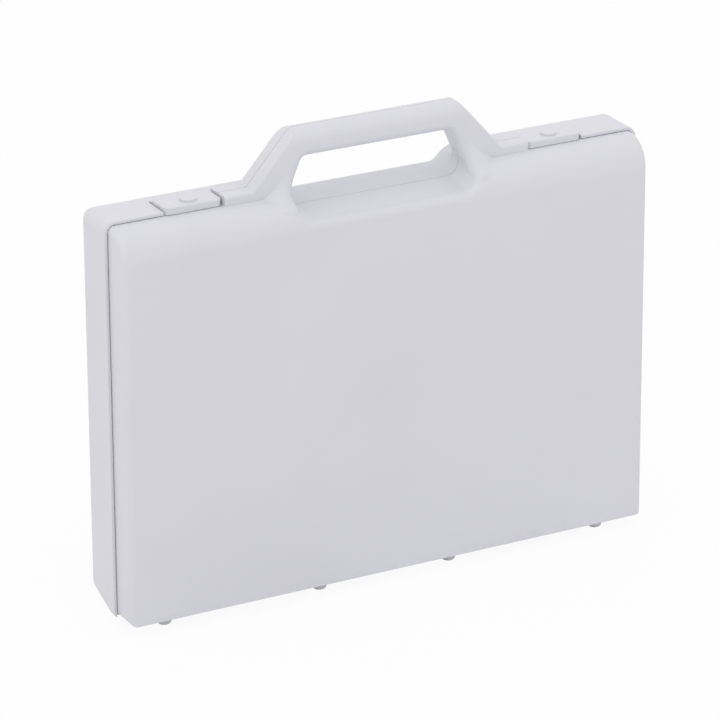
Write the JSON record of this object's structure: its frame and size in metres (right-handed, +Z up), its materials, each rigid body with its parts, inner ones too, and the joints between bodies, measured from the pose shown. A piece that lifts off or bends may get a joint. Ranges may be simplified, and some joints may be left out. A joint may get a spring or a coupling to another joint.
{
  "type": "plastic carry case",
  "caption": "Slim upright plastic carry case: two moulded halves hinged along the bottom, a handle moulded half in each, and flip-up latches on top.",
  "frame": {"origin": "middle of the case's width, on the plane where the two halves meet, level with the undersides of the feet", "axes": "+X along the case's width, to the right of someone who faces its front; +Y to the back; +Z up through the handle"},
  "size_m": [0.34, 0.05, 0.2785],
  "materials": {
    "shell_plastic": "satin, pale cool grey polypropylene",
    "latch_plastic": "satin, the same pale cool grey as the shells",
    "pin_steel": "plain drawn wire"
  },
  "bodies": {
    "base": {"rear_shell": "shell_plastic", "left_latch_pin": "pin_steel", "right_latch_pin": "pin_steel", "left_hinge_pin": "pin_steel", "middle_hinge_pin": "pin_steel", "right_hinge_pin": "pin_steel"},
    "lid": {"front_shell": "shell_plastic"},
    "left_flap": {"left_latch": "latch_plastic"},
    "right_flap": {"right_latch": "latch_plastic"}
  },
  "joints": [
    {"name": "lid_hinge", "type": "hinge", "parent": "base", "child": "lid", "pos_m": [0, 0, 0.0027], "axis": [1, 0, 0], "range_deg": [0, 180]},
    {"name": "left_latch_hinge", "type": "hinge", "parent": "base", "child": "left_flap", "pos_m": [-0.1153, 0.008, 0.2427], "axis": [-1, 0, 0], "range_deg": [0, 95]},
    {"name": "right_latch_hinge", "type": "hinge", "parent": "base", "child": "right_flap", "pos_m": [0.1153, 0.008, 0.2427], "axis": [-1, 0, 0], "range_deg": [0, 95]}
  ]
}
